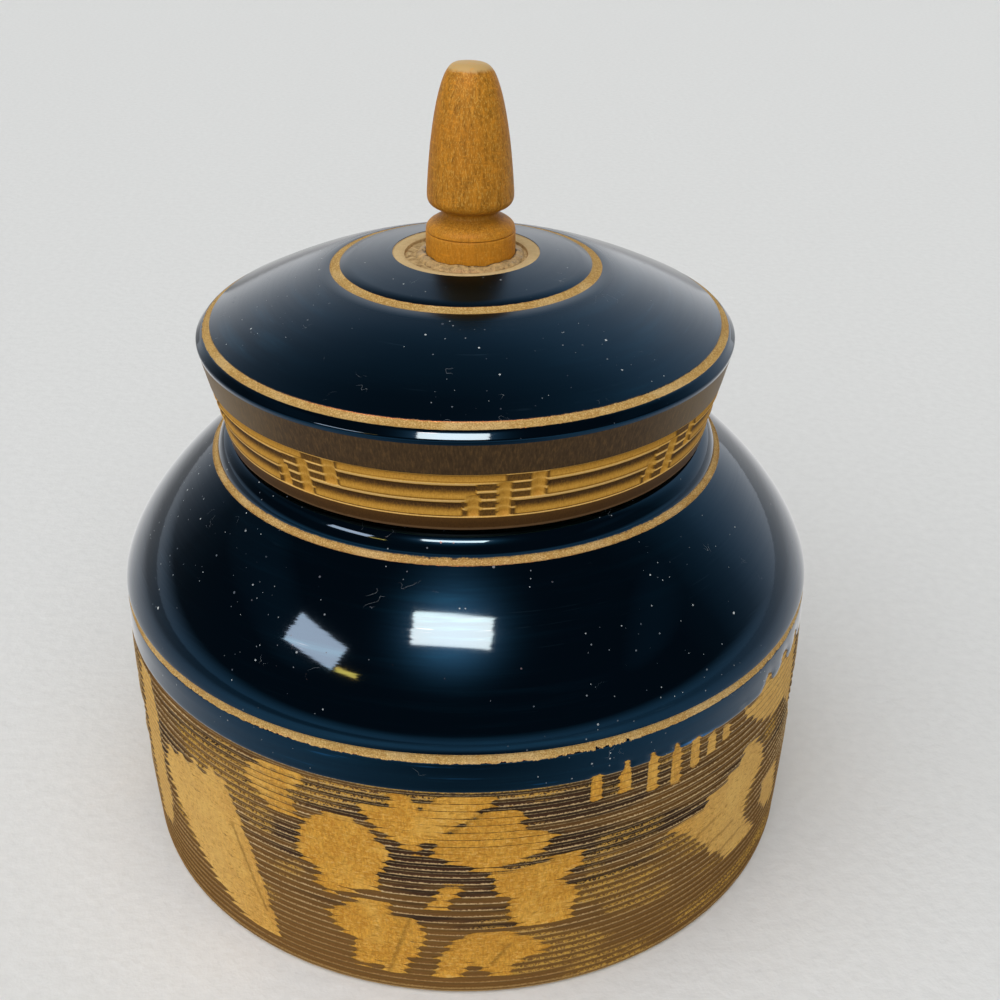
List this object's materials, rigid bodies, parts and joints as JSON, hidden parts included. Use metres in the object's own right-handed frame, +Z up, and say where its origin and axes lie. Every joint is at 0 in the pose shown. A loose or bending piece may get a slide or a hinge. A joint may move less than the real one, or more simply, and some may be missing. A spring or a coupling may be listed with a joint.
{
  "type": "turned wooden trinket box",
  "caption": "Squat turned wooden box with a domed lift-off lid, a carved rim and a bullet-shaped finial.",
  "frame": {"origin": "middle of the underside, on the surface the box stands on", "axes": "+Z up along the turning axis, the front of the picture towards -Y"},
  "size_m": [0.1168, 0.1168, 0.1282],
  "materials": {
    "lacquered_wood": "gloss",
    "finial_wood": "satin",
    "dried_glue": "matt"
  },
  "bodies": {
    "pot": {"pot": "lacquered_wood"},
    "lid": {"lid": "lacquered_wood", "finial": "finial_wood", "glue_bead": "dried_glue"}
  },
  "joints": [
    {"name": "lid_lift", "type": "slide", "parent": "pot", "child": "lid", "axis": [0, 0, 1], "range_m": [0, 0.05]}
  ]
}
